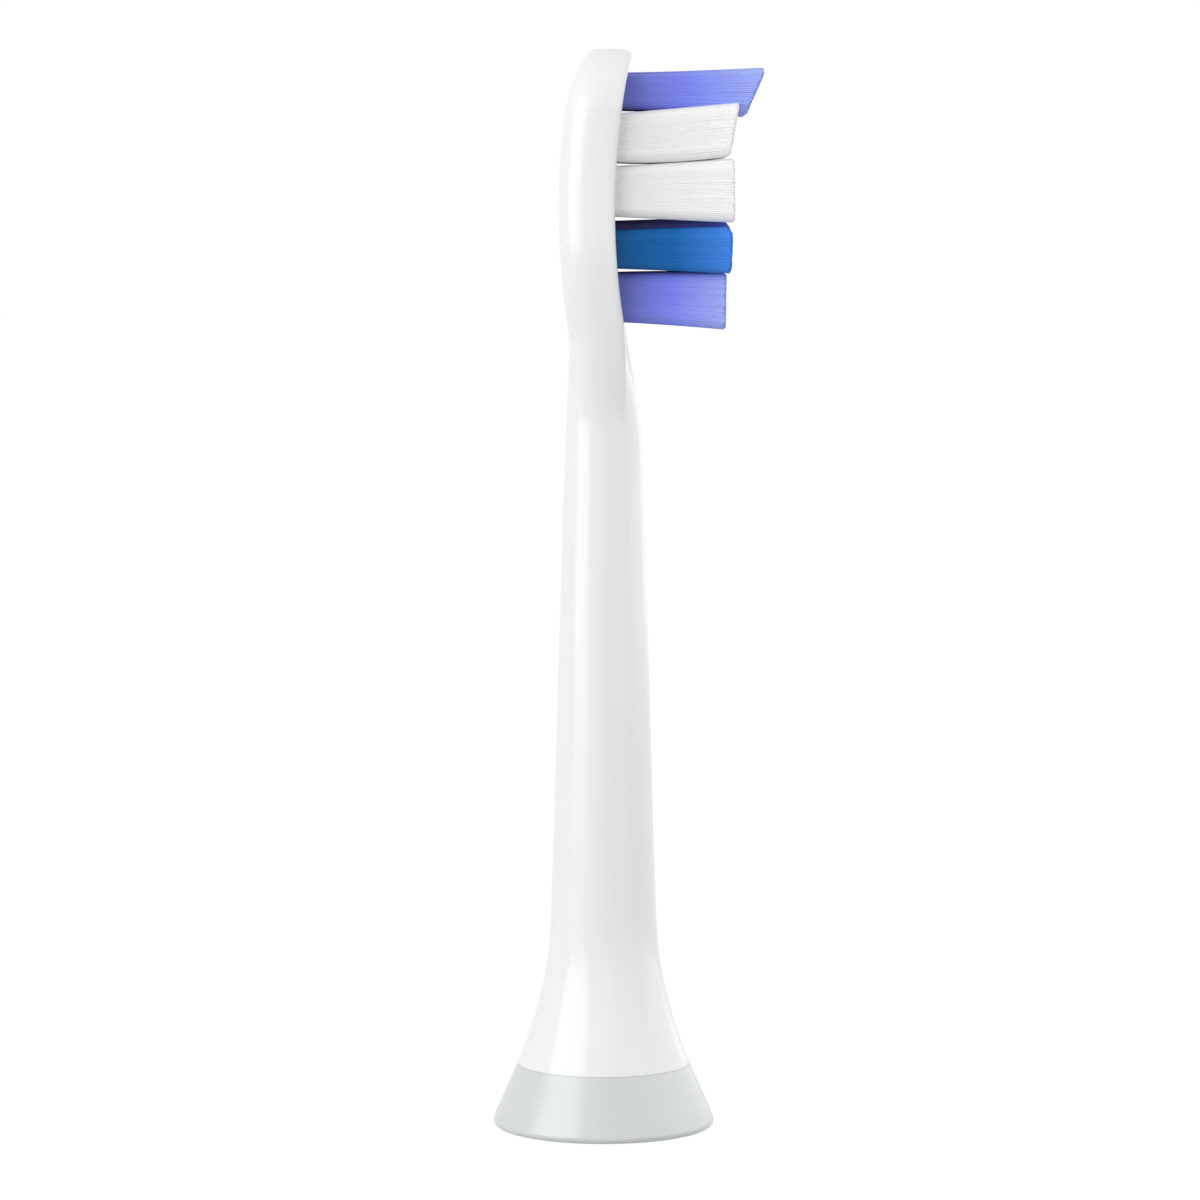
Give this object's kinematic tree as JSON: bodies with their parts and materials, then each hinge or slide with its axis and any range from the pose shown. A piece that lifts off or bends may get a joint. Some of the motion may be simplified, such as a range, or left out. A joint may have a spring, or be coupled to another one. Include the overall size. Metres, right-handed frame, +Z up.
{
  "type": "electric toothbrush head",
  "caption": "Click-on electric toothbrush head: slim white neck with a flared foot ring, an oval plate and trimmed bristle bands in purple, white and blue.",
  "frame": {"origin": "axis of the drive shaft at the flat foot of the base ring", "axes": "+Z up along the neck to the tip of the head, +X the way the bristles point, +Y to the right as seen from the bristle side"},
  "size_m": [0.0212, 0.0174, 0.0852],
  "materials": {
    "white_plastic": "glossy moulded",
    "ring_plastic": "satin moulded",
    "socket_plastic": "moulded",
    "spring_steel": "bright rolled",
    "board": "laminate",
    "copper": "etched copper",
    "chip": "moulded",
    "bristle_purple": "drawn filament",
    "bristle_white": "drawn filament",
    "bristle_blue": "drawn filament",
    "bristle_deep_purple": "drawn filament"
  },
  "bodies": {
    "root": {"brush_body": "white_plastic", "base_ring": "ring_plastic", "shaft_socket": "socket_plastic", "retaining_spring": "spring_steel", "tag_board": "board", "tag_coil": "copper", "tag_chip": "chip", "tuft_tip_left": "bristle_purple", "tuft_tip_centre": "bristle_purple", "tuft_tip_right": "bristle_purple", "tuft_upper_left_outer": "bristle_white", "tuft_upper_left_inner": "bristle_white", "tuft_upper_right_inner": "bristle_white", "tuft_upper_right_outer": "bristle_white", "tuft_mid_left_outer": "bristle_white", "tuft_mid_left_inner": "bristle_white", "tuft_mid_right_inner": "bristle_white", "tuft_mid_right_outer": "bristle_white", "tuft_lower_left_outer": "bristle_blue", "tuft_lower_left_inner": "bristle_deep_purple", "tuft_lower_right_inner": "bristle_deep_purple", "tuft_lower_right_outer": "bristle_blue", "tuft_heel_left": "bristle_purple", "tuft_heel_centre": "bristle_purple", "tuft_heel_right": "bristle_purple"}
  },
  "joints": []
}
